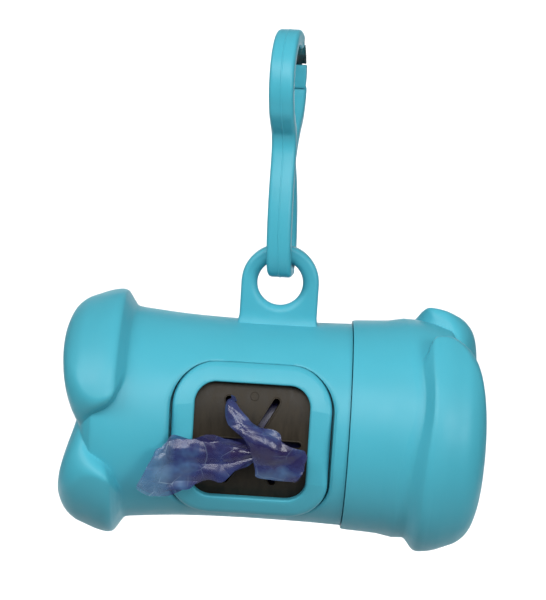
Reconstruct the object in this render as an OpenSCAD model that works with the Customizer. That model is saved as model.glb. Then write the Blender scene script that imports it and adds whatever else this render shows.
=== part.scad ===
// Bone-shaped waste bag dispenser that hangs from a snap hook.
// Millimetres. +X runs along the bone towards its cap, -Y is the front with the
// bag outlet, +Z is up. The origin is the centre of the snap hook's top bow,
// which is the point the whole thing hangs from.

/* [Barrel] */
// Outer radius at the waist
waist_r = 19.7; // [19.5:0.1:20]
// Inner radius of the bag chamber
chamber_r = 18; // [17.6:0.1:18.2]
// Position of the seam between barrel and cap, from the middle of the bone
seam_x = 14.4; // [13:0.2:16]
// Length of the neck that the cap goes over
neck_len = 10; // [8:0.5:11]
// Outer radius of the neck
neck_r = 18.3; // [18:0.1:18.4]

/* [Knuckles] */
// Direction of the left notch round the bone, 0 is the front
notch_left = 0; // [-10:1:10]
// Direction of the cap's notch round the bone, 0 is the front
notch_right = 81; // [60:1:85]
// Facets round the bone
facets = 72; // [48:12:72]

/* [Window] */
// Centre of the window along the bone
win_x = -4.1; // [-5:0.1:-2]
// Height of the bezel's centre against the bone's axis
win_z = -0.8; // [-1.2:0.05:0]
// Height of the centre of the opening and of the star
open_z = -0.45; // [-1:0.05:0]
// Outer width of the bezel
bezel_w = 30.4; // [29:0.1:31]
// Outer height of the bezel
bezel_h = 30; // [29:0.1:30.4]
// Width of the bezel's opening
open_w = 22; // [20:0.5:22]
// Height of the bezel's opening
open_h = 22.4; // [20:0.1:23]
// Radius of the bezel's face, seen along the bone
face_r = 25; // [24:0.5:27]
// Width of the star's slots
slot_w = 1.3; // [1:0.1:1.6]
// Length of the star's slots, tip to tip
slot_len = 19.4; // [17:0.2:20]

/* [Lug] */
// Radius of the hole in the lug
lug_hole_r = 4.45; // [4.4:0.05:4.8]
// Outer radius of the lug
lug_r = 7.6; // [7:0.05:7.8]
// Thickness of the lug
lug_t = 3.2; // [2.8:0.1:3.4]
// Height of the lug's hole above the bone's axis
lug_z = 27.7; // [27:0.1:28]
// Position of the lug along the bone, from its middle
lug_x = -0.3; // [-1:0.1:1]

/* [Snap hook] */
// Width of the hook's strip
strip_w = 4.7; // [4.6:0.1:5.4]
// Width of the strip behind the lug
back_w = 3.9; // [3.8:0.1:5]
// Inner radius of the top bow
bow_r = 7.4; // [7:0.1:7.8]
// Thickness of the strip at the top bow
bow_t = 2.9; // [2.6:0.1:3]
// Turn of the hanging hook about the vertical, degrees
hook_yaw = -8; // [-10:1:0]
// Lean of the hanging hook, degrees
hook_lean = -1.9; // [-3:0.1:0]

/* [Bag roll] */
// Radius of the roll of bags
roll_r = 14.6; // [12:0.2:14.6]
// Length of the roll of bags
roll_len = 58; // [50:1:58]
// Outer radius of the cardboard core
core_r = 5.4; // [5:0.1:6]
// Height of the roll's axis, which lies low in the chamber
roll_z = -1.9; // [-2:0.1:-1.6]

/* [Hidden] */
$fn = 96;

blue = [0.27, 0.71, 0.80];
win_axis_y = -(waist_r - 0.5) + face_r;     // axis that the bezel's curves turn about

// Knuckle outline through a lobe and through the notch, [distance from the middle, radius]
lobe_line = [[26.4, 20.7], [28.0, 21.0], [28.8, 21.9], [29.6, 23.1], [30.3, 23.9],
             [31.5, 24.1], [33.4, 23.7], [35.6, 22.9], [37.9, 21.9], [39.8, 20.2],
             [41.0, 17.8], [41.65, 15.05], [41.8, 12.1], [41.6, 9.2], [41.0, 6.3],
             [40.2, 3.5], [39.8, 1.4]];
notch_line = [[26.4, 20.7], [27.8, 20.85], [29.0, 20.9], [30.2, 20.88], [31.6, 20.78],
              [33.0, 20.48], [34.4, 19.98], [35.1, 19.2], [35.85, 18.2], [36.4, 17.0],
              [36.85, 15.4], [37.25, 13.4], [37.65, 11.2], [37.95, 8.8], [38.2, 6.4],
              [38.35, 3.6], [38.4, 1.4]];
// Where the lobe starts and is complete, sideways from the middle of the notch
lobe_start = [10.7, 10.7, 9.6, 7.6, 6.2, 5.3, 4.4, 3.4, 2.1, 1.1, 0.4, 0.2, 0, 0, 0, 0, 0];
lobe_full = [13.2, 13.2, 12.1, 10.2, 8.9, 8.2, 7.8, 8.6, 11.6, 14.0, 16.0, 18.0, 19.6, 20.8,
             21.8, 22.2, 22.2];
tip_a = 38.4;
// How far the root of the cap's lobes is drawn along the bone, by angle from the front
root_shift = [[-180, -1], [-90, -1.6], [-37, -1.9], [-18, -2.2], [-7, -1.8], [5, -1.2], [14, -0.1],
              [23, 0.5], [34, 0.4], [45, -0.6], [60, -0.8], [80, -0.9], [100, -1.8], [180, -1]];

// Radius of the barrel between the knuckle and the seam, and of the cap's skirt
barrel_line = [[14.4, 20.0], [8, 19.8], [1, 19.7], [-7, 19.7], [-14, 19.85], [-20, 20.15]];
skirt_line = [[14.6, 20.6], [15.2, 20.75], [19, 20.95], [21.6, 21.12]];

// Leaves the notch at a crease and rounds over into the lobe
function ease(t) = let(u = max(0, min(1, t))) 1 - (1 - u) * (1 - u);
function share(i, phi) = ease((abs(lobe_line[i][1] * sin(phi)) - lobe_start[i])
                              / (lobe_full[i] - lobe_start[i]));
// One ring of a knuckle: side is -1 on the left and 1 on the cap, grow widens the root
// and shortens the tip
function knuckle_pt(i, phi, notch, side, grow) =
    let(s = share(i, phi - notch),
        a = notch_line[i][0] * (1 - s) + lobe_line[i][0] * s - 0.6 * grow * min(1, i / 10)
            + grow * max(0, 1 - i / 6) * lookup(phi > 180 ? phi - 360 : phi, root_shift),
        r = notch_line[i][1] * (1 - s) + lobe_line[i][1] * s + grow * max(0, 1 - i / 5))
    [side * a, -r * cos(phi), r * sin(phi)];
function round_pt(x, r, phi) = [x, -r * cos(phi), r * sin(phi)];

// Closed skin from the open end to the tip of one end of the bone
module bone_end(line, notch, side, grow) {
    n = facets;
    rows = concat(
        [for (p = line) [for (k = [0:n - 1]) round_pt(p[0], p[1], k * 360 / n)]],
        [for (i = [0:len(lobe_line) - 1])
            [for (k = [0:n - 1]) knuckle_pt(i, k * 360 / n, notch, side, grow)]]);
    m = len(rows);
    pts = concat([[line[0][0], 0, 0]], [for (r = rows) for (p = r) p],
                 [[side * (tip_a - 0.6 * grow), 0, 0]]);
    last = len(pts) - 1;
    faces = concat(
        [for (k = [0:n - 1]) [0, 1 + (k + 1) % n, 1 + k]],
        [for (j = [0:m - 2]) for (k = [0:n - 1])
            [1 + j * n + k, 1 + j * n + (k + 1) % n, 1 + (j + 1) * n + k]],
        [for (j = [0:m - 2]) for (k = [0:n - 1])
            [1 + j * n + (k + 1) % n, 1 + (j + 1) * n + (k + 1) % n, 1 + (j + 1) * n + k]],
        [for (k = [0:n - 1]) [1 + (m - 1) * n + k, 1 + (m - 1) * n + (k + 1) % n, last]]);
    polyhedron(points = pts,
               faces = side < 0 ? [for (f = faces) [f[2], f[1], f[0]]] : faces, convexity = 6);
}

// Centre of the bow, seen from the middle of the bone
bow_y = 1;
bow_z = 39;
bow_pos = [(-bow_y * sin(hook_yaw)) * cos(hook_lean) + bow_z * sin(hook_lean),
           bow_y * cos(hook_yaw),
           bow_y * sin(hook_yaw) * sin(hook_lean) + bow_z * cos(hook_lean) + lug_z];

module in_row() { translate(-bow_pos) children(); }
module along_x(x0, x1, r0, r1) {
    translate([x0, 0, 0]) rotate([0, 90, 0]) cylinder(h = x1 - x0, r1 = r0, r2 = r1);
}
// Rounded rectangle in X and Z, extruded from y0 to y1 about the window's centre
module rounded(w, h, r) {
    square([w - 2 * r, h], center = true);
    square([w, h - 2 * r], center = true);
    for (i = [-1, 1], j = [-1, 1]) translate([i * (w / 2 - r), j * (h / 2 - r)]) circle(r);
}
module window_block(w, h, r, y0, y1, z = win_z) {
    translate([win_x, y1, z]) rotate([90, 0, 0]) linear_extrude(y1 - y0) rounded(w, h, r);
}
// Curved sheet between two radii about the window's axis
module window_sheet(r_out, r_in) {
    difference() {
        translate([win_x - 30, win_axis_y, win_z]) rotate([0, 90, 0]) cylinder(h = 60, r = r_out, $fn = 128);
        translate([win_x - 31, win_axis_y, win_z]) rotate([0, 90, 0]) cylinder(h = 62, r = r_in, $fn = 128);
    }
}

module lug() {
    translate([0, lug_t / 2, 0]) rotate([90, 0, 0]) linear_extrude(lug_t) {
        translate([lug_x, lug_z]) circle(lug_r);
        translate([lug_x - lug_r, 18.6]) square([2 * lug_r, lug_z - 18.6]);
    }
}
module barrel_shell() {
    color(blue) in_row() difference() {
        union() {
            difference() {
                union() {
                    bone_end(barrel_line, notch_left, -1, 0);
                    lug();
                }
                along_x(-33, 12.4, chamber_r, chamber_r);
                along_x(-36.4, -33, 11.2, chamber_r);
                along_x(12.3, 15, 16.9, 16.9);
                window_block(bezel_w + 0.9, bezel_h + 0.1, 8.3, -30, -8);
            }
            // neck for the cap
            difference() {
                along_x(12.4, seam_x + neck_len, neck_r, neck_r);
                along_x(12.3, seam_x + neck_len + 1, 16.9, 16.9);
            }
            // ledge that carries the outlet plate and the bezel
            intersection() {
                difference() {
                    window_block(bezel_w + 4, bezel_h + 3, 9, -24, -6);
                    window_block(25, 24.4, 5, -25, -5);
                }
                window_sheet(face_r - 3, face_r - 4);
            }
            intersection() {
                difference() {
                    window_block(bezel_w + 4, bezel_h + 3, 9, -24, -6);
                    window_block(bezel_w + 0.9, bezel_h + 0.1, 8.3, -25, -5);
                }
                window_sheet(face_r - 1.5, face_r - 3.2);
                along_x(-30, 30, waist_r - 0.3, waist_r - 0.3);
            }
        }
        translate([lug_x, 10, lug_z]) rotate([90, 0, 0]) cylinder(h = 20, r = lug_hole_r);
    }
}
module end_cap() {
    color(blue) in_row() difference() {
        bone_end(skirt_line, notch_right, 1, 1);
        along_x(14, 24.9, 18.6, 18.6);
        along_x(24.8, 32.6, 17.6, 17.6);
        along_x(32.6, 36, 17.6, 11.4);
    }
}
module window_bezel() {
    color(blue) in_row() intersection() {
        difference() {
            window_block(bezel_w, bezel_h, 8, -24, -8);
            window_block(open_w, open_h, 4, -25, -7, open_z);
        }
        window_sheet(face_r, face_r - 1.75);
    }
}
module outlet_plate() {
    color([0.14, 0.12, 0.11]) in_row() difference() {
        intersection() {
            window_block(bezel_w + 0.3, bezel_h, 8, -24, -8);
            window_sheet(face_r - 1.8, face_r - 2.9);
        }
        for (a = [0, 60, 120]) translate([win_x, 0, open_z]) rotate([0, a, 0]) {
            translate([-slot_len / 2 + slot_w / 2, -25, -slot_w / 2])
                cube([slot_len - slot_w, 20, slot_w]);
            for (s = [-1, 1]) translate([s * (slot_len - slot_w) / 2, -5, 0])
                rotate([90, 0, 0]) cylinder(h = 20, r = slot_w / 2, $fn = 24);
        }
    }
}
module roll_core() {
    color([0.62, 0.50, 0.36]) in_row() translate([-30, 0, roll_z]) rotate([0, 90, 0]) difference() {
        cylinder(h = roll_len, r = core_r);
        translate([0, 0, -1]) cylinder(h = roll_len + 2, r = core_r - 0.8);
    }
}
module bag_roll() {
    color([0.16, 0.15, 0.42]) in_row() translate([-30, 0, roll_z]) rotate([0, 90, 0]) difference() {
        cylinder(h = roll_len, r = roll_r);
        translate([0, 0, -1]) cylinder(h = roll_len + 2, r = core_r + 0.05);
    }
}
// Plain solid of the film end: a knot, a short lobe on its right and a long one on its left
module bag_tail() {
    color([0.16, 0.15, 0.50]) in_row() {
        hull() {
            translate([-4.4, -23, -0.4]) sphere(2.6, $fn = 16);
            translate([0.5, -22.6, 0.6]) sphere(2.0, $fn = 16);
            translate([4.0, -22.4, -3.6]) sphere(1.6, $fn = 16);
            translate([2.4, -22.4, -6.0]) sphere(1.5, $fn = 16);
        }
        hull() {
            translate([-4.4, -23, -0.6]) sphere(2.3, $fn = 16);
            translate([-14, -22.3, -1.2]) sphere(1.5, $fn = 16);
            translate([-21.5, -21.8, -2.6]) sphere(1.3, $fn = 16);
            translate([-19.5, -21.4, -9.6]) sphere(1.3, $fn = 16);
            translate([-10, -22, -6.8]) sphere(1.5, $fn = 16);
        }
        // strand through the star's upper left arm
        translate([win_x, 0, open_z]) rotate([0, 60, 0]) translate([-8.6, -22, -0.4]) cube([5.6, 5.8, 0.8]);
        hull() {
            translate([-7, -21.8, 4.6]) sphere(1, $fn = 16);
            translate([-4.6, -22.8, 0.8]) sphere(1.4, $fn = 16);
        }
    }
}

// Centre lines of the hook's strips in its own plane, [y, z, thickness], z from the lug's hole
spine = [[0.4, 2.35, 1.9], [-2.2, 2.45, 2.0], [-4.1, 3.5, 2.4], [-5.0, 6.2, 2.8], [-5.2, 10, 2.9],
         [-4.9, 14.5, 2.9], [-4.0, 19.2, 2.9], [-2.7, 23.6, 2.9], [-2.1, 27.2, 2.9],
         [-2.9, 30.1, 2.9], [-4.95, 32.2, 2.9], [-6.6, 34.1, 2.9], [-7.45, 36.2, 2.9]];
eye_limb = [[-0.4, 2.35, 1.9], [2.2, 2.45, 2.0], [4.1, 3.5, 2.4], [5.0, 6.2, 2.7], [5.1, 10, 2.7],
            [4.5, 14.5, 2.7], [2.9, 19.2, 2.7], [0.6, 23.0, 2.7], [-1.6, 26.4, 2.4]];
far_limb = [[-1.8, 25.4, 2.4], [0.5, 28.0, 2.7], [3.5, 30.2, 2.7], [6.7, 32.2, 2.6],
            [8.9, 34.8, 2.4], [10.0, 37.1, 2.0]];
pin_a = 62;                                   // where the gate's pin sits on the bow
bow_end = 200;                                // where the bow runs into the spine
pin_pos = [bow_y + (bow_r + bow_t / 2) * cos(pin_a), bow_z + (bow_r + bow_t / 2) * sin(pin_a)];
pin_r = 0.5;
leaf_line = [[5.75, 47.45, 0.5], [7.2, 46.1, 0.5], [8.6, 44.1, 0.5], [9.25, 42.3, 0.5], [9.35, 40.3, 0.5]];
leaf_pocket = [[8.7, 43.9, 0.62], [9.25, 42.3, 0.62], [9.35, 40.25, 0.62]];

// Smooth curve through the points, four steps to a span
function span(p, i, t) =
    let(a = p[max(0, i - 1)], b = p[i], c = p[i + 1], d = p[min(len(p) - 1, i + 2)])
    0.5 * (2 * b + (c - a) * t + (2 * a - 5 * b + 4 * c - d) * t * t
           + (3 * b - a - 3 * c + d) * t * t * t);
function smooth(p) = concat([for (i = [0:len(p) - 2]) for (t = [0:3]) span(p, i, t / 4)],
                            [p[len(p) - 1]]);
function side_pt(q, i, s) =
    let(a = q[max(0, i - 1)], b = q[min(len(q) - 1, i + 1)],
        d = [b[0] - a[0], b[1] - a[1]], n = [-d[1], d[0]] / norm(d))
    [q[i][0] + s * n[0] * q[i][2] / 2, q[i][1] + s * n[1] * q[i][2] / 2];
module strip(p) {
    q = smooth(p);
    e = len(q) - 1;
    d = [q[e][0] - q[e - 1][0], q[e][1] - q[e - 1][1]];
    a = atan2(d[1], d[0]);
    tip = [for (k = [75:-15:-75]) [q[e][0] + q[e][2] / 2 * cos(a + k), q[e][1] + q[e][2] / 2 * sin(a + k)]];
    polygon(concat([for (i = [0:e]) side_pt(q, i, 1)], tip, [for (i = [e:-1:0]) side_pt(q, i, -1)]));
}
// Stands a drawing made in [y, z] up in the hook's place, w wide
module in_hook(w) {
    in_row() translate([0, 0, lug_z]) rotate([0, hook_lean, 0]) rotate([0, 0, hook_yaw])
        rotate([90, 0, 90]) translate([0, 0, -w / 2]) linear_extrude(w) children();
}
module bow() {
    difference() {
        translate([bow_y, bow_z]) circle(bow_r + bow_t);
        translate([bow_y, bow_z]) circle(bow_r);
        translate([bow_y, bow_z]) polygon([[0, 0], 40 * [cos(bow_end), sin(bow_end)], [-40, -60],
            [60, -60], [60, 0], 60 * [cos(pin_a), sin(pin_a)]]);
    }
}
module hook_body() {
    color(blue) difference() {
        union() {
            in_hook(strip_w) strip(spine);
            in_hook(back_w) strip(eye_limb);
            in_hook(strip_w) strip(far_limb);
            in_hook(strip_w) bow();
            in_hook(strip_w) translate(pin_pos) circle(bow_t / 2, $fn = 48);
        }
        // slot and hole for the gate
        in_hook(3.2) translate(pin_pos) rotate(pin_a)
            translate([-3, -5]) square([8, 6.6]);
        in_hook(strip_w + 2) translate(pin_pos) circle(pin_r, $fn = 32);
    }
}
module gate_leaf() {
    color([0.30, 0.28, 0.27]) difference() {
        union() {
            in_hook(2.8) translate(pin_pos) circle(1.15, $fn = 32);
            in_hook(2.8) strip(leaf_line);
            in_hook(4.5) intersection() {
                strip(leaf_line);
                translate([0, 42.25]) square([20, 3.75]);
            }
        }
        in_hook(4) translate(pin_pos) circle(pin_r + 0.06, $fn = 32);
    }
}
module gate_tip() {
    color(blue) difference() {
        in_hook(4.7) polygon([[8.5, 42], [10.2, 42], [10.3, 40.7], [10.05, 39.3], [9.25, 38.1],
                              [8.6, 37.35], [8.45, 37.9], [8.45, 39.3], [8.45, 40.7]]);
        in_hook(2.9) strip(leaf_pocket);
    }
}
module gate_pin() {
    color([0.55, 0.55, 0.56]) in_hook(strip_w) translate(pin_pos) circle(pin_r, $fn = 32);
}

barrel_shell();
end_cap();
window_bezel();
outlet_plate();
roll_core();
bag_roll();
bag_tail();
hook_body();
gate_leaf();
gate_tip();
gate_pin();
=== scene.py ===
import math

import bmesh
import bpy
import numpy as np
from mathutils import Matrix, Vector, noise


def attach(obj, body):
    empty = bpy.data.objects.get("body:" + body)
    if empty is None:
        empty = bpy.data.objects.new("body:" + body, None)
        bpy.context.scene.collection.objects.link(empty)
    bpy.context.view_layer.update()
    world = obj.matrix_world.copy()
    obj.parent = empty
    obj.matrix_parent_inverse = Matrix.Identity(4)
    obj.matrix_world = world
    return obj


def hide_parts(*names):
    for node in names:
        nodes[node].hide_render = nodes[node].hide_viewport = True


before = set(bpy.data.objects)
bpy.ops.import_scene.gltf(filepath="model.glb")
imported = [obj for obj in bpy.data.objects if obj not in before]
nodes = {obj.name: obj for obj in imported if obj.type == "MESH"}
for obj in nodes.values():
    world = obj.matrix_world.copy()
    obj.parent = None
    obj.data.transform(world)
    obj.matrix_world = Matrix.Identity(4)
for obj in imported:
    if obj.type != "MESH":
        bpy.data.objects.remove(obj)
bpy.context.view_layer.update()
scene = bpy.context.scene

# ---------------------------------------------------------------- frame helpers
# Shapes are worked out in millimetres from the middle of the bone, as the part's own
# source does, and moved to the row frame (origin at the hook's bow) when they are made.
YAW, LEAN = math.radians(-8), math.radians(-1.9)
LUG_X, LUG_Z, BOW_Y, BOW_Z = -0.3, 27.7, 1.0, 39.0
BOW_R, BOW_T, STRIP_W, BACK_W = 7.4, 2.9, 4.7, 3.9


def turn(p):
    """Hook plane to bone directions: yaw about Z, then lean about Y."""
    p = np.asarray(p, float)
    x = p[..., 0] * math.cos(YAW) - p[..., 1] * math.sin(YAW)
    y = p[..., 0] * math.sin(YAW) + p[..., 1] * math.cos(YAW)
    z = p[..., 2]
    return np.stack([x * math.cos(LEAN) + z * math.sin(LEAN), y,
                     -x * math.sin(LEAN) + z * math.cos(LEAN)], -1)


BOW = turn((0, BOW_Y, BOW_Z)) + np.array((0, 0, LUG_Z))


def row(p):
    """Bone millimetres to row metres."""
    return (np.asarray(p, float) - BOW) / 1000


def hook_row(p):
    """Hook plane millimetres (from the lug's hole) to row metres."""
    return row(turn(p) + np.array((0, 0, LUG_Z)))


def mesh_object(name, verts, faces, smooth=True):
    me = bpy.data.meshes.new(name)
    me.from_pydata([tuple(map(float, v)) for v in verts], [], [tuple(map(int, f)) for f in faces])
    me.validate()
    me.update()
    o = bpy.data.objects.new(name, me)
    scene.collection.objects.link(o)
    bm = bmesh.new()
    bm.from_mesh(me)
    bmesh.ops.recalc_face_normals(bm, faces=bm.faces)
    bm.to_mesh(me)
    bm.free()
    if smooth:
        me.shade_smooth()
    return o


def bake(o):
    """The modifiers' result becomes the mesh."""
    dg = bpy.context.evaluated_depsgraph_get()
    me = bpy.data.meshes.new_from_object(o.evaluated_get(dg), depsgraph=dg)
    old = o.data
    o.modifiers.clear()
    o.data = me
    bpy.data.meshes.remove(old)
    return o


def boolean(o, other, operation):
    m = o.modifiers.new("cut", "BOOLEAN")
    m.object, m.operation = other, operation
    try:
        m.solver = "MANIFOLD"
    except TypeError:
        m.solver = "EXACT"
    before = len(o.data.polygons)
    bake(o)
    print("boolean", o.name, operation, other.name, before, "->", len(o.data.polygons))
    me = other.data
    bpy.data.objects.remove(other)
    bpy.data.meshes.remove(me)
    return o


def sharpen(o, degrees=32):
    """Smooth shading with hard edges where the faces meet at more than this."""
    me = o.data
    me.shade_smooth()
    bm = bmesh.new()
    bm.from_mesh(me)
    limit = math.radians(degrees)
    for e in bm.edges:
        if len(e.link_faces) == 2:
            e.smooth = e.calc_face_angle(0) < limit
    bm.to_mesh(me)
    bm.free()


def grid_faces(rows, cols, wrap_cols=True, flip=False, base=0):
    f = []
    for j in range(rows - 1):
        for k in range(cols if wrap_cols else cols - 1):
            a, b = base + j * cols + k, base + j * cols + (k + 1) % cols
            q = (a, b, b + cols, a + cols)
            f.append(q[::-1] if flip else q)
    return f


def tube_of_rings(name, rings, close_ends=True, smooth=True):
    """A solid from rings of points, each ring the same length."""
    rings = np.asarray(rings, float)
    n, c = rings.shape[:2]
    faces = grid_faces(n, c)
    if close_ends:
        faces.append(tuple(range(c))[::-1])
        faces.append(tuple(range((n - 1) * c, n * c)))
    return mesh_object(name, rings.reshape(-1, 3), faces, smooth)


# ---------------------------------------------------------------- bone shape
LOBE = np.array([[26.4, 20.7], [28.0, 21.0], [28.8, 21.9], [29.6, 23.1], [30.3, 23.9],
                 [31.5, 24.1], [33.4, 23.7], [35.6, 22.9], [37.9, 21.9], [39.8, 20.2],
                 [41.0, 17.8], [41.65, 15.05], [41.8, 12.1], [41.6, 9.2], [41.0, 6.3],
                 [40.2, 3.5], [39.8, 1.4]])
NOTCH = np.array([[26.4, 20.7], [27.8, 20.85], [29.0, 20.9], [30.2, 20.88], [31.6, 20.78],
                  [33.0, 20.48], [34.4, 19.98], [35.1, 19.2], [35.85, 18.2], [36.4, 17.0],
                  [36.85, 15.4], [37.25, 13.4], [37.65, 11.2], [37.95, 8.8], [38.2, 6.4],
                  [38.35, 3.6], [38.4, 1.4]])
START = np.array([10.7, 10.7, 9.6, 7.6, 6.2, 5.3, 4.4, 3.4, 2.1, 1.1, 0.4, 0.2, 0, 0, 0, 0, 0])
FULL = np.array([13.2, 13.2, 12.1, 10.2, 8.9, 8.2, 7.8, 8.6, 11.6, 14.0, 16.0, 18.0, 19.6, 20.8,
                 21.8, 22.2, 22.2])
ROOT_SHIFT = np.array([[-180, -1], [-90, -1.6], [-37, -1.9], [-18, -2.2], [-7, -1.8], [5, -1.2],
                       [14, -0.1], [23, 0.5], [34, 0.4], [45, -0.6], [60, -0.8], [80, -0.9],
                       [100, -1.8], [180, -1]])
BARREL = np.array([[14.4, 20.0], [8, 19.8], [1, 19.7], [-7, 19.7], [-14, 19.85], [-20, 20.15], [-26.4, 20.7]])
SKIRT = np.array([[14.6, 20.6], [15.2, 20.75], [19, 20.95], [21.6, 21.12]])
TIP = 38.4
NOTCH_RIGHT = 81

WIN_X, WIN_Z, OPEN_Z, FACE_R = -4.1, -0.8, -0.45, 25.0
BEZEL_W, BEZEL_H, OPEN_W, OPEN_H = 30.4, 30.0, 22.0, 22.4
AXIS_Y = -(19.7 - 0.5) + FACE_R


def catmull(p, per):
    """Smooth curve through the rows of p, per samples to a span."""
    p = np.asarray(p, float)
    if p.ndim == 1:
        p = p[:, None]
    out = []
    for i in range(len(p) - 1):
        a, b, c, d = p[max(0, i - 1)], p[i], p[i + 1], p[min(len(p) - 1, i + 2)]
        for t in np.arange(per) / per:
            out.append(0.5 * (2 * b + (c - a) * t + (2 * a - 5 * b + 4 * c - d) * t * t
                              + (3 * b - a - 3 * c + d) * t ** 3))
    out.append(p[-1])
    return np.array(out)


def rounded_distance(x, z, w, h, r):
    """Signed distance from a rounded rectangle's outline, positive outside."""
    qx, qz = np.abs(x) - (w / 2 - r), np.abs(z) - (h / 2 - r)
    return np.hypot(np.maximum(qx, 0), np.maximum(qz, 0)) + np.minimum(np.maximum(qx, qz), 0) - r


def smooth_table(deg):
    """The root's shift along the bone, with the table's corners rounded off."""
    out = np.zeros_like(deg)
    for off, weight in ((-8, 1), (-4, 2), (0, 3), (4, 2), (8, 1)):
        out += weight / 9 * np.interp((deg + off + 180) % 360 - 180, ROOT_SHIFT[:, 0], ROOT_SHIFT[:, 1])
    return out


def knuckle_rows(notch, side, grow, phi, per):
    lobe, notch_line = catmull(LOBE, per), catmull(NOTCH, per)
    start, full = catmull(START, per)[:, 0], catmull(FULL, per)[:, 0]
    u = np.linspace(0, len(LOBE) - 1, len(lobe))
    rows = []
    for k in range(len(lobe)):
        across = np.abs(lobe[k, 1] * np.sin(phi - math.radians(notch)))
        t = np.clip((across - start[k]) / (full[k] - start[k]), 0, 1)
        s = 1 - (1 - t) ** 2
        a = notch_line[k, 0] * (1 - s) + lobe[k, 0] * s - 0.6 * grow * min(1, u[k] / 10)
        if grow:
            a = a + max(0, 1 - u[k] / 6) * smooth_table(np.degrees((phi + math.pi) % (2 * math.pi) - math.pi))
        r = notch_line[k, 1] * (1 - s) + lobe[k, 1] * s + grow * max(0, 1 - u[k] / 5)
        rows.append(np.stack([side * a, -r * np.cos(phi), r * np.sin(phi)], -1))
    return rows


def bone_end(name, line, notch, side, grow, n, step, per, dip=False):
    """Closed skin of one end of the bone, from its open end to its tip."""
    phi = np.arange(n) * 2 * math.pi / n
    xs = np.arange(0, 1 + 1e-9, 1 / max(1, round(abs(line[-1][0] - line[0][0]) / step)))
    xs = line[0][0] + xs * (line[-1][0] - line[0][0])
    smooth_line = catmull(line, 16)
    order = np.argsort(smooth_line[:, 0])
    rows = []
    for x in xs[:-1]:
        r = np.interp(x, smooth_line[order, 0], smooth_line[order, 1])
        ring = np.full(n, r)
        if dip:
            z, y = r * np.sin(phi), -r * np.cos(phi)
            d = rounded_distance(x - WIN_X, z - WIN_Z, BEZEL_W + 0.9, BEZEL_H + 0.1, 8.3)
            side_on = np.clip((np.abs(x - WIN_X) - 11) / 4, 0, 1)
            soft = 0.35 + 0.55 * side_on
            e = np.clip(1 - d / soft, 0, 1)
            fall = soft * (1 - np.sqrt(np.maximum(0, 1 - e * e)))
            ring = np.where(y < 0, r - fall, r)
        rows.append(np.stack([np.full(n, x), -ring * np.cos(phi), ring * np.sin(phi)], -1))
    ends = knuckle_rows(notch, side, grow, phi, per)
    if grow:
        # the cap's knuckle starts at a wavy line, so the skirt is drawn out to meet it
        last = np.stack([np.full(n, line[-1][0]), -line[-1][1] * np.cos(phi), line[-1][1] * np.sin(phi)], -1)
        rows += [last + (ends[0] - last) * t for t in np.arange(10) / 10]
    rows += ends
    rows = np.array(rows)
    m = len(rows)
    verts = np.concatenate([[[line[0][0], 0, 0]], rows.reshape(-1, 3), [[side * (TIP - 0.6 * grow), 0, 0]]])
    faces = grid_faces(m, n, base=1)
    last = len(verts) - 1
    faces += [(0, 1 + (k + 1) % n, 1 + k) for k in range(n)]
    faces += [(1 + (m - 1) * n + k, 1 + (m - 1) * n + (k + 1) % n, last) for k in range(n)]
    return mesh_object(name, row(verts), faces)


def turned(name, outline, n=160):
    """A solid of revolution about the bone's axis from a closed outline of [x, r]."""
    phi = np.arange(n) * 2 * math.pi / n
    rings = [np.stack([np.full(n, x), -r * np.cos(phi), r * np.sin(phi)], -1) for x, r in outline]
    if outline[0][1] < 1e-6 or outline[-1][1] < 1e-6:
        raise ValueError("keep the outline off the axis")
    return tube_of_rings(name, row(np.array(rings)))


def turned_ring(name, outline, n=160):
    """A ring about the bone's axis whose section is the closed outline of [x, r]."""
    phi = np.arange(n) * 2 * math.pi / n
    c = len(outline)
    pts = np.array([[(x, -r * math.cos(p), r * math.sin(p)) for x, r in outline] for p in phi])
    faces = []
    for j in range(n):
        for k in range(c):
            a, b = j * c + k, j * c + (k + 1) % c
            d, e = ((j + 1) % n) * c + k, ((j + 1) % n) * c + (k + 1) % c
            faces.append((a, b, e, d))
    return mesh_object(name, row(pts.reshape(-1, 3)), faces)


def rounded_outline(w, h, r, n=48):
    """Points round a rounded rectangle, n to a corner, the same number for any size."""
    pts = []
    for cx, cz, a0 in ((1, 1, 0), (-1, 1, 90), (-1, -1, 180), (1, -1, 270)):
        for k in range(n):
            a = math.radians(a0 + 90 * k / (n - 1))
            pts.append((cx * (w / 2 - r) + r * math.cos(a), cz * (h / 2 - r) + r * math.sin(a)))
    return np.array(pts)


def spread_outline(w, h, r, n):
    """The same outline with n evenly spaced points."""
    p = rounded_outline(w, h, r)
    p = np.concatenate([p, p[:1]])
    s = np.concatenate([[0], np.cumsum(np.hypot(*np.diff(p, axis=0).T))])
    at = np.arange(n) / n * s[-1]
    return np.stack([np.interp(at, s, p[:, 0]), np.interp(at, s, p[:, 1])], -1)


def window_block(name, w, h, r, y0, y1):
    p = rounded_outline(w, h, r, 24)
    rings = [np.stack([p[:, 0] + WIN_X, np.full(len(p), y), p[:, 1] + WIN_Z], -1) for y in (y0, y1)]
    return tube_of_rings(name, row(np.array(rings)))


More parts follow.
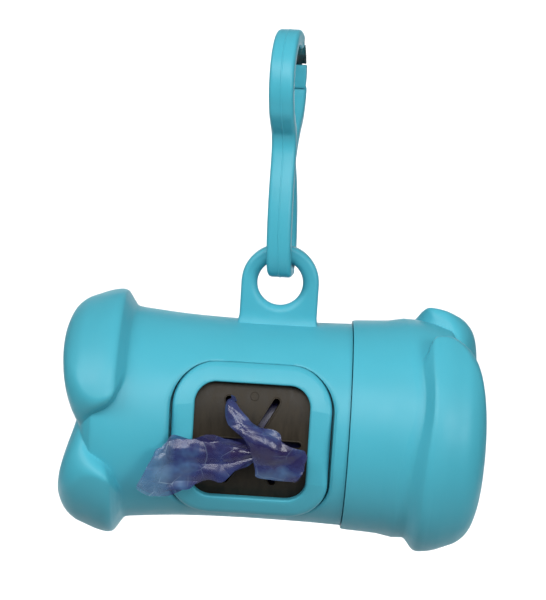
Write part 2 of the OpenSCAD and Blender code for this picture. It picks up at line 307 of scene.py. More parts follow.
def window_frame(name, section, w, h, r, n=360):
    """A frame round the window. section is a closed loop of [inset, radius about the window's axis]."""
    base = rounded_outline(w, h, r, n // 4)
    # points along the straight sides too, so that they follow the curve
    step = np.linspace(0, 1, 17)[:-1, None]
    base = np.concatenate([p + (q - p) * step if np.hypot(*(q - p)) > 1 else p[None]
                           for p, q in zip(base, np.roll(base, -1, 0))])
    c = len(base)
    # outward direction of each outline point
    centre = np.stack([np.clip(base[:, 0], -(w / 2 - r), w / 2 - r),
                       np.clip(base[:, 1], -(h / 2 - r), h / 2 - r)], -1)
    out = base - centre
    out /= np.linalg.norm(out, axis=1)[:, None]
    pts = []
    for i in range(c):
        for inset, rad in section:
            q = base[i] - out[i] * inset
            y = AXIS_Y - math.sqrt(max(0.0, rad * rad - q[1] * q[1]))
            pts.append((q[0] + WIN_X, y, q[1] + WIN_Z))
    k = len(section)
    faces = []
    for i in range(c):
        for j in range(k):
            a, b = i * k + j, i * k + (j + 1) % k
            d, e = ((i + 1) % c) * k + j, ((i + 1) % c) * k + (j + 1) % k
            faces.append((a, b, e, d))
    o = mesh_object(name, row(np.array(pts)), faces)
    bm = bmesh.new()
    bm.from_mesh(o.data)
    bmesh.ops.remove_doubles(bm, verts=bm.verts, dist=1e-6)
    bmesh.ops.recalc_face_normals(bm, faces=bm.faces)
    bm.to_mesh(o.data)
    bm.free()
    return o


N = 420
STEP = 0.4
PER = 7


def make_lug():
    hole, arch, t, base_z = 4.45, 7.6, 3.2, 16.5
    n = 144
    th = np.arange(n) * 2 * math.pi / n
    c, sn = np.cos(th), np.sin(th)
    edge = np.where(sn >= 0, arch, np.minimum(arch / np.maximum(np.abs(c), 1e-9),
                                              (LUG_Z - base_z) / np.maximum(np.abs(sn), 1e-9)))
    half, rin, rout = t / 2, 1.5, 0.9
    front = []
    for i in range(11):                       # round edge of the hole
        a = math.pi / 2 * i / 10
        front.append((hole + rin * (1 - math.cos(a)) * np.ones(n), 0.1 + (half - 0.1) * math.sin(a)))
    for f in (0.2, 0.4, 0.6, 0.8):
        front.append(((hole + rin) * (1 - f) + (edge - rout) * f, half))
    for i in range(11):                       # rounded outer edge
        a = math.pi / 2 * (1 - i / 10)
        front.append((edge - rout * (1 - math.cos(a)), half - rout + rout * math.sin(a)))
    rings = []
    for r, y in [(r, -y) for r, y in front] + [(r, y) for r, y in front[::-1]]:
        x, z = r * c, LUG_Z + r * sn
        low = np.clip((21.2 - z) / 1.6, 0, 1) ** 2
        side = np.clip((np.abs(x) - 5.5) / 2.1, 0, 1)
        rings.append(np.stack([x + np.sign(x) * 0.35 * low * side,
                               np.full(n, y) + math.copysign(0.5, y) * low * min(1, abs(y)), z], -1))
    rings = np.array(rings) + [LUG_X, 0, 0]
    faces = grid_faces(len(rings), n)
    last = (len(rings) - 1) * n
    for k in range(n):
        faces.append((last + k, last + (k + 1) % n, (k + 1) % n, k))
    return mesh_object("lug_tmp", row(rings.reshape(-1, 3)), faces)


def make_barrel():
    o = bone_end("barrel_moulding", BARREL, 0, -1, 0, N, STEP, PER, dip=True)
    boolean(o, make_lug(), "UNION")
    boolean(o, turned("bore", [(-36.4, 11.2), (-33, 18.0), (13.0, 18.0), (13.4, 16.9), (16, 16.9)]), "DIFFERENCE")
    boolean(o, window_block("hole", BEZEL_W + 0.9, BEZEL_H + 0.1, 8.3, -30, -8), "DIFFERENCE")
    # neck with a rounded lip
    boolean(o, turned_ring("neck", [(13.0, 18.3), (23.8, 18.3), (24.2, 18.15), (24.4, 17.8), (24.4, 17.2),
                                    (24.2, 17.0), (23.8, 16.9), (13.0, 16.9)]), "UNION")
    ledge = window_frame("ledge", [(-2.0, FACE_R - 1.6), (-2.0, FACE_R - 4), (3.4, FACE_R - 4),
                                   (3.4, FACE_R - 3), (-0.4, FACE_R - 3), (-0.4, FACE_R - 1.6)],
                         BEZEL_W, BEZEL_H, 8, 200)
    keep = turned("keep", [(-30, 19.3), (30, 19.3)])
    boolean(ledge, keep, "INTERSECT")
    boolean(o, ledge, "UNION")
    sharpen(o, 30)
    return o


def make_cap():
    o = bone_end("cap_moulding", SKIRT, NOTCH_RIGHT, 1, 1, N, STEP, PER)
    boolean(o, turned("bore", [(13, 18.9), (14.9, 18.6), (24.8, 18.6), (24.8, 17.6), (32.6, 17.6), (36.0, 11.4)]),
            "DIFFERENCE")
    sharpen(o, 30)
    return o


def make_bezel():
    f, b = FACE_R, FACE_R - 1.75
    n = 96
    outer, inner = rounded_outline(BEZEL_W, BEZEL_H, 8, n), rounded_outline(OPEN_W, OPEN_H, 4, n)
    inner = inner + np.array([0, OPEN_Z - WIN_Z])
    # t runs from the outer outline (0) to the inner one (1); edge is the distance from the nearer
    width = np.linalg.norm(outer - inner, axis=1)
    sec = []
    r1, r2 = 0.85, 0.55
    sec.append(("out", 0.0, b))
    for i in range(9):
        a = math.pi / 2 * i / 8
        sec.append(("out", r1 * (1 - math.cos(a)), f - r1 + r1 * math.sin(a)))
    for t in np.linspace(0.22, 0.84, 8):
        sec.append(("mid", t, f + 0.05 * math.sin(math.pi * t)))
    for i in range(9):
        a = math.pi / 2 * (1 - i / 8)
        sec.append(("in", r2 * (1 - math.cos(a)), f - r2 + r2 * math.sin(a)))
    sec.append(("in", 0.0, b))
    pts = []
    for k in range(len(outer)):
        way = (inner[k] - outer[k]) / width[k]
        for kind, v, rad in sec:
            q = outer[k] + way * (v if kind == "out" else v * width[k] if kind == "mid" else width[k] - v)
            y = AXIS_Y - math.sqrt(rad * rad - q[1] * q[1])
            pts.append((q[0] + WIN_X, y, q[1] + WIN_Z))
    c, m = len(outer), len(sec)
    faces = []
    for i in range(c):
        for j in range(m):
            a, d = i * m, ((i + 1) % c) * m
            faces.append((a + j, a + (j + 1) % m, d + (j + 1) % m, d + j))
    o = mesh_object("bezel_ring", row(np.array(pts)), faces)
    bm = bmesh.new()
    bm.from_mesh(o.data)
    bmesh.ops.remove_doubles(bm, verts=bm.verts, dist=1e-6)
    bmesh.ops.recalc_face_normals(bm, faces=bm.faces)
    bm.to_mesh(o.data)
    bm.free()
    sharpen(o, 40)
    return o


# ---------------------------------------------------------------- snap hook
SPINE = [[0.4, 2.35, 1.9], [-2.2, 2.45, 2.0], [-4.1, 3.5, 2.4], [-5.0, 6.2, 2.8], [-5.2, 10, 2.9],
         [-4.9, 14.5, 2.9], [-4.0, 19.2, 2.9], [-2.7, 23.6, 2.9], [-2.1, 27.2, 2.9],
         [-2.9, 30.1, 2.9], [-4.95, 32.2, 2.9], [-6.6, 34.1, 2.9]]
EYE = [[-0.4, 2.35, 1.9], [2.2, 2.45, 2.0], [4.1, 3.5, 2.4], [5.0, 6.2, 2.7], [5.1, 10, 2.7],
       [4.5, 14.5, 2.7], [2.9, 19.2, 2.7], [0.6, 23.0, 2.7], [-1.6, 26.4, 2.4]]
FAR = [[-1.8, 25.4, 2.4], [0.5, 28.0, 2.7], [3.5, 30.2, 2.7], [6.7, 32.2, 2.6],
       [8.9, 34.8, 2.4], [10.0, 37.1, 2.0]]
PIN_A = 62
MEAN = BOW_R + BOW_T / 2
PIN = (BOW_Y + MEAN * math.cos(math.radians(PIN_A)), BOW_Z + MEAN * math.sin(math.radians(PIN_A)))


def strip_section(w, t, r, ridge=0.0):
    """Rounded rectangle of width w (across) and thickness t, as [across, normal] points."""
    pts = []
    for sx, sn, a0 in ((1, 1, 0), (-1, 1, 90), (-1, -1, 180), (1, -1, 270)):
        if ridge and (sx, sn) in ((-1, 1), (1, -1)):
            s = sn
            line = [(0.16, 0), (0.07, ridge), (-0.07, ridge), (-0.16, 0)]
            for x, d in (line if s > 0 else [(-x, d) for x, d in line]):
                pts.append((x, s * (t / 2 + d)))
        for k in range(7):
            a = math.radians(a0 + 90 * k / 6)
            pts.append((sx * (w / 2 - r) + r * math.cos(a), sn * (t / 2 - r) + r * math.sin(a)))
    return pts


def strip_solid(name, path, per=8, w=STRIP_W, r=0.8, ridge=0.075, round_end=True):
    q = catmull(path, per)
    e = len(q) - 1
    d = np.zeros((e + 1, 2))
    d[1:-1] = q[2:, :2] - q[:-2, :2]
    d[0], d[-1] = q[1, :2] - q[0, :2], q[-1, :2] - q[-2, :2]
    d /= np.linalg.norm(d, axis=1)[:, None]
    stations = [(q[i, :2], d[i], q[i, 2], 1.0) for i in range(e + 1)]
    if round_end:
        end, de, t = q[e, :2], d[e], q[e, 2]
        for k in range(1, 7):
            a = math.pi / 2 * k / 6 * 0.94
            stations.append((end + de * t / 2 * math.sin(a), de, t * math.cos(a), 1 - 0.22 * (1 - math.cos(a))))
    rings = []
    for c, dd, t, wide in stations:
        nrm = np.array([-dd[1], dd[0]])
        rr = min(r, t * 0.42)
        ring = [(x, c[0] + nrm[0] * h, c[1] + nrm[1] * h) for x, h in strip_section(w * wide, t, rr, ridge)]
        rings.append(ring)
    return tube_of_rings(name, hook_row(np.array(rings)))


def prism(name, poly, w, grow=0.0):
    """A hook-plane outline, w wide."""
    rings = [[(x, y, z) for y, z in poly] for x in (-w / 2, w / 2)]
    return tube_of_rings(name, hook_row(np.array(rings)), smooth=False)


def make_hook():
    arc = [[BOW_Y + MEAN * math.cos(math.radians(a)), BOW_Z + MEAN * math.sin(math.radians(a)), BOW_T]
           for a in np.arange(200, PIN_A - 1, -7.25)]
    o = strip_solid("hook_strip", SPINE + arc, 8)
    boolean(o, strip_solid("eye", EYE, 8, BACK_W), "UNION")
    boolean(o, strip_solid("far", FAR, 8), "UNION")
    ca, sa = math.cos(math.radians(PIN_A)), math.sin(math.radians(PIN_A))
    slot = [(PIN[0] + ca * u - sa * v, PIN[1] + sa * u + ca * v)
            for u, v in ((-3, -5), (5, -5), (5, 1.6), (-3, 1.6))]
    boolean(o, prism("slot", slot, 3.2), "DIFFERENCE")
    hole = [(PIN[0] + 0.5 * math.cos(a), PIN[1] + 0.5 * math.sin(a)) for a in np.arange(24) * math.pi / 12]
    boolean(o, prism("hole", hole, 8), "DIFFERENCE")
    sharpen(o, 38)
    return o


def make_gate_tip():
    poly = [(8.5, 42), (10.2, 42), (10.3, 40.7), (10.05, 39.3), (9.25, 38.1), (8.6, 37.35),
            (8.45, 37.9), (8.45, 39.3), (8.45, 40.7)]
    o = prism("gate_tip_moulding", poly, 4.7)
    m = o.modifiers.new("round", "BEVEL")
    m.width, m.segments, m.limit_method, m.angle_limit = 0.00045, 4, "ANGLE", math.radians(50)
    bake(o)
    sharpen(o, 40)
    return o


# ---------------------------------------------------------------- film, roll and slot lips
def front_of(x, z):
    """The y of whatever lies behind the film at this x and z, in bone millimetres."""
    zz = z - WIN_Z
    inside = rounded_distance(x - WIN_X, z - OPEN_Z, OPEN_W, OPEN_H, 4) < -0.2
    frame_part = rounded_distance(x - WIN_X, zz, BEZEL_W + 0.9, BEZEL_H + 0.4, 8) < 0
    rad = np.where(inside, FACE_R - 1.8, FACE_R)
    curved = AXIS_Y - np.sqrt(np.maximum(rad ** 2 - zz ** 2, 1))
    r = np.interp(x, BARREL[::-1, 0], BARREL[::-1, 1])
    tube = -np.sqrt(np.maximum(r ** 2 - z ** 2, 1))
    return np.where(inside | frame_part, curved, tube)


def folds(u, v, seed, size):
    """Crumpling: flat facets that meet in sharp creases."""
    rng = np.random.default_rng(seed)
    out = np.zeros_like(u)
    for k in range(4):
        a = rng.uniform(0, math.pi)
        wave = rng.uniform(7.0, 15.0)
        w = (u * math.cos(a) + v * math.sin(a)) / wave + rng.uniform(0, 1)
        out += (wave / 8) * (np.abs((w % 1) * 2 - 1) - 0.5)
    return out * size


def film_patch(up, low, per, nv, seed, size, bulge, off=0.0, tuck=1.5, pleat=0.4):
    """One layer of film between an upper and a lower edge."""
    up, low = catmull(up, per), catmull(low, per)
    v = np.linspace(0, 1, nv)
    P = up[:, None] * (1 - v[None, :, None]) + low[:, None] * v[None, :, None]
    along = np.gradient(P, axis=0)
    across = np.gradient(P, axis=1)
    nrm = np.cross(along, across)
    nrm /= np.linalg.norm(nrm, axis=2)[..., None] + 1e-9
    nrm *= np.where(nrm[..., 1:2] > 0, -1, 1)
    s_al = np.cumsum(np.linalg.norm(np.diff((up + low) / 2, axis=0, prepend=(up[:1] + low[:1]) / 2), axis=1))
    width = np.linalg.norm(up - low, axis=1)
    S = np.repeat(s_al[:, None], nv, 1)
    V = v[None] * width[:, None]
    grow = np.clip(S / tuck, 0.1, 1)
    d = folds(S, V, seed, size) * grow
    d += bulge * np.sin(math.pi * v)[None] * np.clip(width / 5, 0.2, 1)[:, None]
    # pleats that run along the film from where it is gathered
    rng = np.random.default_rng(seed + 7)
    d += pleat * np.abs(np.sin(math.pi * (1.7 * v[None] + 0.3 * np.sin(S / 8 + rng.uniform(0, 6))))) * grow
    P = P + nrm * (d + off)[..., None]
    # wavy outline
    edge = np.abs(v - 0.5) * 2
    wob = folds(S * 1.7 + 11, V * 0.3, seed + 3, 0.55) * (edge ** 3)[None] * np.clip(S / 5, 0, 1)
    P += (across / (np.linalg.norm(across, axis=2)[..., None] + 1e-9)) * (wob * np.sign(v - 0.5)[None])[..., None]
    return P


def make_film():
    a_up = [[-6.6, -14.6, 6.6], [-7.15, -16.4, 7.1], [-7.3, -18.4, 7.9], [-6.05, -19.9, 6.28], [-4.05, -21.0, 4.62],
            [-1.54, -22.0, 4.17], [1.03, -22.6, 2.85], [3.16, -22.6, 0.3], [5.9, -21.8, -0.69], [6.27, -21.0, -3.44]]
    a_low = [[-8.6, -14.6, 8.6], [-8.3, -16.4, 8.2], [-9.4, -18.4, 7.2], [-9.23, -19.9, 5.43], [-8.02, -21.0, 3.47],
             [-6.02, -22.0, 1.46], [-4.21, -22.6, -0.5], [-2.28, -22.6, -3.56], [-0.94, -21.8, -5.63], [4.73, -21.0, -6.92]]
    b_up = [[-2.3, -20.2, -0.1], [-4.7, -20.7, -0.3], [-8.15, -21.0, 0.82], [-13.12, -21.1, 0.83],
            [-18.67, -21.5, 0.77], [-20.74, -22.0, -0.58], [-22.16, -22.5, -2.26]]
    b_low = [[-1.9, -20.2, -2.6], [-3.57, -20.7, -3.3], [-7.75, -21.0, -6.03], [-11.71, -21.1, -7.55],
             [-16.57, -21.5, -9.25], [-21.76, -22.0, -10.74], [-24.95, -22.5, -8.53]]
    a_up, a_low, b_up, b_low = (np.array(q, float) for q in (a_up, a_low, b_up, b_low))
    per, nv = ((12, 60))
    patches = [film_patch(a_up, a_low, per, nv, 5, 0.42, 0.9, 0.0, 7.0, 0.12),
               film_patch(a_up[3:] + [0.2, 0.7, -0.5], a_low[3:] + [0.5, 0.7, 0.3], per, nv, 12, 0.34, 0.3, 0.0, 4.0, 0.2),
               film_patch(b_up, b_low, per, nv, 21, 0.40, 0.5),
               film_patch(b_up + [0, 0.5, -0.2], b_low + [0.3, 0.5, 0.3], per, nv, 33, 0.36, 0.1)]
    verts, faces = [], []
    for P in patches:
        n, m = P.shape[:2]
        inside = P[..., 1] > -17.8          # still in the slot
        wall = front_of(P[..., 0], P[..., 2]) - 0.3
        P[..., 1] = np.where(inside, P[..., 1], np.minimum(P[..., 1], wall))
        faces += [tuple(int(i) for i in f) for f in grid_faces(n, m, wrap_cols=False, base=len(verts))]
        verts += list(P.reshape(-1, 3))
    return mesh_object("bag_film", row(np.array(verts)), faces)


def make_roll():
    """Roll of film with uneven layer edges at its ends, wound on the core."""
    r0, r1, x0, x1, axis_z = 5.45, 14.6, -30.0, 28.0, -1.9
    rng = np.random.default_rng(4)
    layers = 30
    rr = np.linspace(r0, r1, layers + 1)
    left, right = [], []
    for k in range(layers):
        jl, jr = rng.uniform(0, 0.45), rng.uniform(0, 0.45)
        for r in (rr[k] + 0.02, rr[k + 1] - 0.02):
            left.append((x0 + jl, r)); right.append((x1 - jr, r))
    side = [(x, r1 - 0.12 * abs(math.sin(x * 1.9 + math.sin(x)))) for x in np.linspace(x0 + 0.6, x1 - 0.6, 60)]
    outline = left + side + right[::-1]
    n = 120
    phi = np.arange(n) * 2 * math.pi / n
    c = len(outline)
    pts = np.array([[(x, -r * math.cos(p), axis_z + r * math.sin(p)) for x, r in outline] for p in phi])
    faces = []
    for j in range(n):
        for k in range(c):
            faces.append((j * c + k, j * c + (k + 1) % c, ((j + 1) % n) * c + (k + 1) % c, ((j + 1) % n) * c + k))
    o = mesh_object("film_roll", row(pts.reshape(-1, 3)), faces)
    sharpen(o, 40)
    return o


def make_lips():
    """The thin raised lip that follows the six slots of the outlet plate."""
    rad, w, reach = FACE_R - 1.8, 1.3, 19.4 / 2
    out = []
    inner = w / 2
    for k in range(6):
        a = math.radians(60 * k)
        ca, sa = math.cos(a), math.sin(a)
        start = inner / math.tan(math.radians(30))
        side = [(t, inner) for t in np.linspace(start, reach - inner, 14)]
        tip = [(reach - inner + inner * math.sin(b), inner * math.cos(b)) for b in np.linspace(0, math.pi, 12)[1:-1]]
        back = [(t, -inner) for t in np.linspace(reach - inner, start, 14)]
        # arms run clockwise from each other, so their sides are taken from the far one to the near one
        out += [(x * ca - y * sa, x * sa + y * ca) for x, y in (back[::-1] + tip[::-1] + side[::-1])]
    line = np.array(out)
    keep = [0]
    for i in range(1, len(line)):
        if np.linalg.norm(line[i] - line[keep[-1]]) > 1e-4:
            keep.append(i)
    if np.linalg.norm(line[keep[-1]] - line[0]) < 1e-4:
        keep.pop()
    line = line[keep]
    nxt, prv = np.roll(line, -1, 0), np.roll(line, 1, 0)
    tan = nxt - prv
    tan /= np.linalg.norm(tan, axis=1)[:, None]
    nrm = np.stack([-tan[:, 1], tan[:, 0]], -1)
    area2 = np.sum(line[:, 0] * nxt[:, 1] - nxt[:, 0] * line[:, 1])
    nrm *= -1 if area2 > 0 else 1
    sec = [(0.015, -0.30), (0.015, 0.05), (0.06, 0.11), (0.15, 0.13), (0.24, 0.10), (0.30, 0.03), (0.30, -0.30)]
    pts = []
    for i in range(len(line)):
        for off, high in sec:
            q = line[i] + nrm[i] * off
            x, z = q[0], q[1] + OPEN_Z - WIN_Z
            y = AXIS_Y - math.sqrt((rad + high) ** 2 - z * z)
            pts.append((x + WIN_X, y, z + WIN_Z))
    c, m = len(line), len(sec)
    faces = []
    for i in range(c):
        for j in range(m):
            a, d = i * m, ((i + 1) % c) * m
            faces.append((a + j, a + (j + 1) % m, d + (j + 1) % m, d + j))
    # small round moulding mark above the star
    base = len(pts)
    n, k = 36, 6
    for i in range(n):
        a = 2 * math.pi * i / n
        for j in range(k):
            b = 2 * math.pi * j / k
            q = 0.75 + 0.07 * math.cos(b)
            x, z = -3.8 + q * math.cos(a), 8.2 + q * math.sin(a)
            zz = z - WIN_Z
            pts.append((x, AXIS_Y - math.sqrt(rad * rad - zz * zz) - 0.01 - 0.05 * math.sin(b), z))
    for i in range(n):
        for j in range(k):
            a, d = base + i * k, base + ((i + 1) % n) * k
            faces.append((a + j, d + j, d + (j + 1) % k, a + (j + 1) % k))
    o = mesh_object("slot_lips", row(np.array(pts)), faces)
    return o


# ---------------------------------------------------------------- materials
def material(name):
    m = bpy.data.materials.new(name)
    m.use_nodes = True
    nt = m.node_tree
    bsdf = nt.nodes["Principled BSDF"]
    return m, nt, bsdf


def noise_node(nt, scale, detail=4, rough=0.5, coords=None, stretch=None):
    tc = coords or nt.nodes.new("ShaderNodeTexCoord").outputs["Object"]
    if stretch:
        mp = nt.nodes.new("ShaderNodeMapping")
        mp.inputs["Scale"].default_value = stretch
        nt.links.new(tc, mp.inputs["Vector"])
        tc = mp.outputs["Vector"]
    n = nt.nodes.new("ShaderNodeTexNoise")
    n.inputs["Scale"].default_value = scale
    n.inputs["Detail"].default_value = detail
    n.inputs["Roughness"].default_value = rough
    nt.links.new(tc, n.inputs["Vector"])
    return n.outputs["Fac"]


def ramp(nt, fac, stops):
    r = nt.nodes.new("ShaderNodeValToRGB")
    el = r.color_ramp.elements
    while len(el) < len(stops):
        el.new(0.5)
    for e, (p, c) in zip(el, stops):
        e.position = p
        e.color = (*c, 1) if len(c) == 3 else c
    nt.links.new(fac, r.inputs["Fac"])
    return r.outputs["Color"]


def bump(nt, height, strength, distance, normal=None):
    b = nt.nodes.new("ShaderNodeBump")
    b.inputs["Strength"].default_value = strength
    b.inputs["Distance"].default_value = distance
    nt.links.new(height, b.inputs["Height"])
    if normal is not None:
        nt.links.new(normal, b.inputs["Normal"])
    return b.outputs["Normal"]


def map_range(nt, fac, lo, hi, a=0.0, b=1.0):
    m = nt.nodes.new("ShaderNodeMapRange")
    m.inputs["From Min"].default_value, m.inputs["From Max"].default_value = a, b
    m.inputs["To Min"].default_value, m.inputs["To Max"].default_value = lo, hi
    nt.links.new(fac, m.inputs["Value"])
    return m.outputs["Result"]


def blend(nt, fac, a, c):
    m = nt.nodes.new("ShaderNodeMix")
    m.data_type = "RGBA"
    nt.links.new(fac, m.inputs["Factor"])
    for v, sock in ((a, m.inputs[6]), (c, m.inputs[7])):
        if isinstance(v, tuple):
            sock.default_value = (*v, 1)
        else:
            nt.links.new(v, sock)
    return m.outputs[2]


def blue_plastic(name, tint=1.0, rough=0.42, grain=0.05):
    m, nt, b = material(name)
    broad = noise_node(nt, 45, 3, 0.5)
    c = [0.066 * tint, 0.405 * tint, 0.515 * tint]
    col = ramp(nt, broad, [(0.3, [v * 0.965 for v in c]), (0.7, [v * 1.03 for v in c])])
    nt.links.new(col, b.inputs["Base Color"])
    fine = noise_node(nt, 2600, 3, 0.6)
    wavy = noise_node(nt, 260, 2, 0.5)
    nt.links.new(map_range(nt, wavy, rough - 0.05, rough + 0.06, 0.3, 0.7), b.inputs["Roughness"])
    n1 = bump(nt, wavy, 0.12, 0.00012)
    nt.links.new(bump(nt, fine, grain * 2.2, 0.00004, n1), b.inputs["Normal"])
    b.inputs["IOR"].default_value = 1.49
    b.inputs["Specular IOR Level"].default_value = 0.32
    b.inputs["Subsurface Weight"].default_value = 0.06
    b.inputs["Subsurface Radius"].default_value = (0.3, 0.8, 1.0)
    b.inputs["Subsurface Scale"].default_value = 0.0012
    return m


def dark_rubber(name):
    m, nt, b = material(name)
    streak = noise_node(nt, 900, 5, 0.65, stretch=(1, 1, 0.12))
    col = ramp(nt, streak, [(0.3, (0.017, 0.013, 0.008)), (0.75, (0.036, 0.028, 0.018))])
    nt.links.new(col, b.inputs["Base Color"])
    b.inputs["Specular IOR Level"].default_value = 0.22
    nt.links.new(map_range(nt, streak, 0.38, 0.6, 0.3, 0.7), b.inputs["Roughness"])
    nt.links.new(bump(nt, streak, 0.25, 0.00006), b.inputs["Normal"])
    return m


def steel(name):
    m, nt, b = material(name)
    streak = noise_node(nt, 2500, 4, 0.6, stretch=(1, 0.15, 0.15))
    col = ramp(nt, streak, [(0.3, (0.13, 0.12, 0.11)), (0.7, (0.26, 0.245, 0.23))])
    nt.links.new(col, b.inputs["Base Color"])
    b.inputs["Metallic"].default_value = 1.0
    nt.links.new(map_range(nt, streak, 0.12, 0.28, 0.3, 0.7), b.inputs["Roughness"])
    nt.links.new(bump(nt, streak, 0.1, 0.00003), b.inputs["Normal"])
    return m


def cardboard(name):
    m, nt, b = material(name)
    fibre = noise_node(nt, 1800, 5, 0.7, stretch=(0.25, 1, 1))
    col = ramp(nt, fibre, [(0.3, (0.22, 0.14, 0.08)), (0.7, (0.40, 0.28, 0.17))])
    nt.links.new(col, b.inputs["Base Color"])
    b.inputs["Roughness"].default_value = 0.85
    nt.links.new(bump(nt, fibre, 0.4, 0.00008), b.inputs["Normal"])
    return m


def wound_film(name):
    m, nt, b = material(name)
    patch = noise_node(nt, 160, 4, 0.55, stretch=(0.5, 1, 1))
    col = ramp(nt, patch, [(0.3, (0.010, 0.009, 0.065)), (0.72, (0.026, 0.026, 0.14))])
    nt.links.new(col, b.inputs["Base Color"])
    nt.links.new(map_range(nt, patch, 0.22, 0.42, 0.3, 0.7), b.inputs["Roughness"])
    ridges = noise_node(nt, 900, 3, 0.6, stretch=(0.12, 1, 1))
    nt.links.new(bump(nt, ridges, 0.35, 0.00015), b.inputs["Normal"])
    return m


def film(name):
    """Thin glossy violet-blue film that lets some of what is behind it through."""
    m, nt, b = material(name)
    mott = noise_node(nt, 170, 3, 0.55)
    col = ramp(nt, mott, [(0.30, (0.032, 0.022, 0.088)), (0.52, (0.033, 0.046, 0.158)), (0.74, (0.072, 0.155, 0.31))])
    place = nt.nodes.new("ShaderNodeSeparateXYZ")
    nt.links.new(nt.nodes.new("ShaderNodeTexCoord").outputs["Object"], place.inputs["Vector"])
    # painted sheen: the single-layer left end gets a paler, whiter base colour that stands in for the film's
    # reflection
    painted_sheen = ramp(nt, mott, [(0.30, (0.10, 0.20, 0.34)), (0.70, (0.24, 0.44, 0.58))])
    col = blend(nt, map_range(nt, place.outputs["X"], 0.95, 0.0, -0.0205, -0.0168), col, painted_sheen)
    # painted highlights: thin pale glint lines along the creases, most of them in the single layer
    cells = nt.nodes.new("ShaderNodeTexVoronoi")
    cells.feature = "DISTANCE_TO_EDGE"
    cells.inputs["Scale"].default_value = 210
    nt.links.new(place.inputs["Vector"].links[0].from_socket, cells.inputs["Vector"])
    crease = cells.outputs["Distance"]
    some = noise_node(nt, 260, 1, 0.5)
    line = nt.nodes.new("ShaderNodeMath")
    line.operation = "MULTIPLY"
    nt.links.new(map_range(nt, crease, 1.0, 0.0, 0.004, 0.018), line.inputs[0])
    nt.links.new(map_range(nt, some, 0.0, 1.0, 0.50, 0.60), line.inputs[1])
    painted_glint_mask = nt.nodes.new("ShaderNodeMath")
    painted_glint_mask.operation = "MULTIPLY"
    nt.links.new(line.outputs[0], painted_glint_mask.inputs[0])
    nt.links.new(map_range(nt, place.outputs["X"], 0.75, 0.12, -0.0205, -0.016), painted_glint_mask.inputs[1])
    # the pale colour mixed in along the creases is a painted highlight, not the film's own colour
    col = blend(nt, painted_glint_mask.outputs[0], col, (0.55, 0.74, 0.84))
    nt.links.new(col, b.inputs["Base Color"])
    nt.links.new(map_range(nt, mott, 0.20, 0.34, 0.3, 0.7), b.inputs["Roughness"])
    nt.links.new(bump(nt, crease, 0.45, 0.0012), b.inputs["Normal"])
    b.inputs["IOR"].default_value = 1.55
    b.inputs["Coat Weight"].default_value = 0.3
    b.inputs["Coat Roughness"].default_value = 0.08
    through = nt.nodes.new("ShaderNodeBsdfTransparent")
    through.inputs["Color"].default_value = (0.70, 0.76, 0.93, 1)
    # the free end on the left is a single layer and clearer than the knot
    tc = nt.nodes.new("ShaderNodeTexCoord")
    sep = nt.nodes.new("ShaderNodeSeparateXYZ")
    nt.links.new(tc.outputs["Object"], sep.inputs["Vector"])
    far = map_range(nt, sep.outputs["X"], 0.30, 0.62, -0.0215, -0.0155)
    vary = nt.nodes.new("ShaderNodeMath")
    vary.operation = "MULTIPLY_ADD"
    nt.links.new(mott, vary.inputs[0])
    vary.inputs[1].default_value = 0.30
    nt.links.new(far, vary.inputs[2])
    mix = nt.nodes.new("ShaderNodeMixShader")
    nt.links.new(vary.outputs[0], mix.inputs["Fac"])
    out = nt.nodes["Material Output"]
    nt.links.new(through.outputs[0], mix.inputs[1])
    nt.links.new(b.outputs[0], mix.inputs[2])
    nt.links.new(mix.outputs[0], out.inputs["Surface"])
    return m


def paint(o, m):
    o.data.materials.clear()
    o.data.materials.append(m)


# ---------------------------------------------------------------- camera
# Where the camera stood, from the least-squares fit of the part to points measured in the
# photograph: about 0.39 m off, 11 degrees above the bone, rolled 3.6 degrees. Angles in
# radians, lengths in mm, f in pixels of the 546 by 600 frame.
CAM = {"az": -5.97645e-4, "el": 0.187991653, "roll": 0.0633441155, "dist": 389.159045,
       "f": 1982.63324, "tx": -1.64069901, "tz": -2.23420523, "pivot": 26.5}


def make_camera():
    az, el, roll = CAM["az"], CAM["el"], CAM["roll"]
    d = np.array([math.sin(az) * math.cos(el), math.cos(az) * math.cos(el), -math.sin(el)])
    right = np.array([math.cos(az), -math.sin(az), 0])
    up = np.cross(right, d)
    r2 = right * math.cos(roll) + up * math.sin(roll)
    u2 = -right * math.sin(roll) + up * math.cos(roll)
    at = np.array([0, 0, CAM["pivot"]]) + r2 * CAM["tx"] + u2 * CAM["tz"] - d * CAM["dist"]
    cam = bpy.data.cameras.new("camera")
    o = bpy.data.objects.new("camera", cam)
    scene.collection.objects.link(o)
    o.matrix_world = Matrix.Translation(row(at)) @ Matrix(np.stack([r2, u2, -d], 1).tolist()).to_4x4()
    cam.sensor_fit = "AUTO"
    cam.sensor_width = 36
    cam.lens = CAM["f"] / 600 * 36     # the long side of the 546 by 600 frame
    cam.clip_start, cam.clip_end = 0.01, 20
    cam.dof.use_dof = False
    scene.camera = o


make_camera()

# ---------------------------------------------------------------- pieces
blue = blue_plastic("blue_plastic")
hook_blue = blue_plastic("hook_plastic", 1.0, 0.34)

barrel = make_barrel()
paint(barrel, blue)
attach(barrel, "dispenser"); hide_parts("barrel_shell")

cap = make_cap()
paint(cap, blue)
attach(cap, "cap"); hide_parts("end_cap")

bezel = make_bezel()
paint(bezel, blue)
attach(bezel, "dispenser"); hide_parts("window_bezel")

hook = make_hook()
paint(hook, hook_blue)
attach(hook, "hook"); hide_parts("hook_body")

tip = make_gate_tip()
paint(tip, hook_blue)
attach(tip, "gate"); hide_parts("gate_tip")

paint(nodes["outlet_plate"], dark_rubber("plate_rubber"))
steel_m = steel("spring_steel")
paint(nodes["gate_leaf"], steel_m)
paint(nodes["gate_pin"], steel_m)
paint(nodes["roll_core"], cardboard("cardboard"))

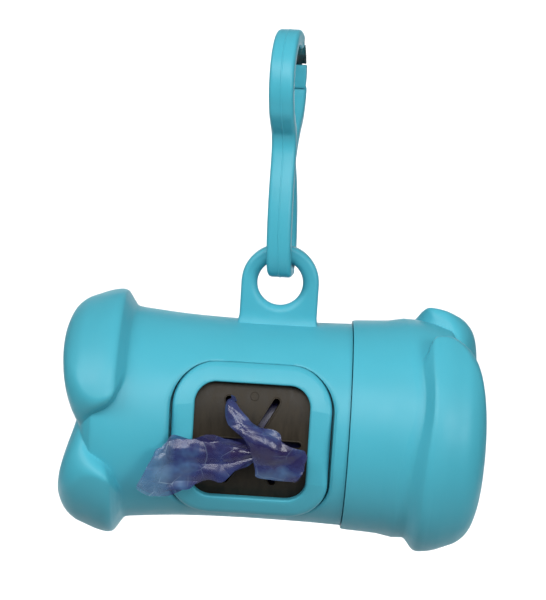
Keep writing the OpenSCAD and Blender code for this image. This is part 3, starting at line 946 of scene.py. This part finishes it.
rubber_m = dark_rubber("dark_rubber")
lips = make_lips()
paint(lips, rubber_m)
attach(lips, "dispenser")

roll = make_roll()
paint(roll, wound_film("wound_film"))
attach(roll, "roll"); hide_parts("bag_roll")

bag = make_film()
paint(bag, film("violet_film"))
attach(bag, "dispenser"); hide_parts("bag_tail")
bag_area = sum(f.area for f in bag.data.polygons)
print("film area mm2", bag_area * 1e6)

# ---------------------------------------------------------------- stage and light
def area(name, at, to, size, power, color=(1, 1, 1)):
    l = bpy.data.lights.new(name, "AREA")
    l.shape, l.size, l.size_y = "RECTANGLE", size[0], size[1]
    l.energy, l.color = power, color
    o = bpy.data.objects.new(name, l)
    scene.collection.objects.link(o)
    at, to = Vector(at), Vector(to)
    o.location = at
    o.rotation_mode = "QUATERNION"
    o.rotation_quaternion = (to - at).to_track_quat("-Z", "Y")
    return o


FLOOR = -0.85


def make_stage():
    # pale floor that curves up into a backdrop
    prof = [(-1.2, FLOOR), (3.0, FLOOR)]
    for k in range(1, 13):
        a = math.pi / 2 * k / 12
        prof.append((3.0 + 0.8 * math.sin(a), FLOOR + 0.8 * (1 - math.cos(a))))
    prof.append((3.8, 1.2))
    verts = [(x, y, z) for x in (-1.6, 1.6) for y, z in prof]
    n = len(prof)
    o = mesh_object("floor", verts, [(k, k + 1, n + k + 1, n + k) for k in range(n - 1)])
    m, nt, b = material("pale_floor")
    c = ramp(nt, noise_node(nt, 6, 3), [(0.3, (0.86, 0.86, 0.86)), (0.7, (0.89, 0.89, 0.89))])
    nt.links.new(c, b.inputs["Base Color"])
    b.inputs["Roughness"].default_value = 0.7
    o.data.materials.append(m)


make_stage()
w = bpy.data.worlds.new("world")
scene.world = w
w.use_nodes = True
wt = w.node_tree
tc = wt.nodes.new("ShaderNodeTexCoord")
sep = wt.nodes.new("ShaderNodeSeparateXYZ")
wt.links.new(tc.outputs["Generated"], sep.inputs["Vector"])
lift = wt.nodes.new("ShaderNodeMapRange")
lift.inputs["From Min"].default_value, lift.inputs["From Max"].default_value = -0.4, 0.6
lift.inputs["To Min"].default_value, lift.inputs["To Max"].default_value = 0.0, 0.27
wt.links.new(sep.outputs["Z"], lift.inputs["Value"])
bg = wt.nodes["Background"]
bg.inputs["Color"].default_value = (0.95, 0.97, 1.0, 1)
wt.links.new(lift.outputs["Result"], bg.inputs["Strength"])
mid = (0, 0, -0.05)
area("front", (-0.05, -0.68, 0.42), mid, (0.62, 0.44), 4.5)
area("left", (-0.55, -0.38, 0.42), (-0.03, 0, -0.05), (0.40, 0.34), 2.6)
area("right", (0.50, -0.50, 0.16), (0.03, 0, -0.06), (0.30, 0.34), 2.1)
area("back", (0.0, 1.3, 1.15), (0, 3.4, 0.0), (2.2, 0.6), 90.0)
scene.view_settings.view_transform = "Standard"
scene.view_settings.look = "None"
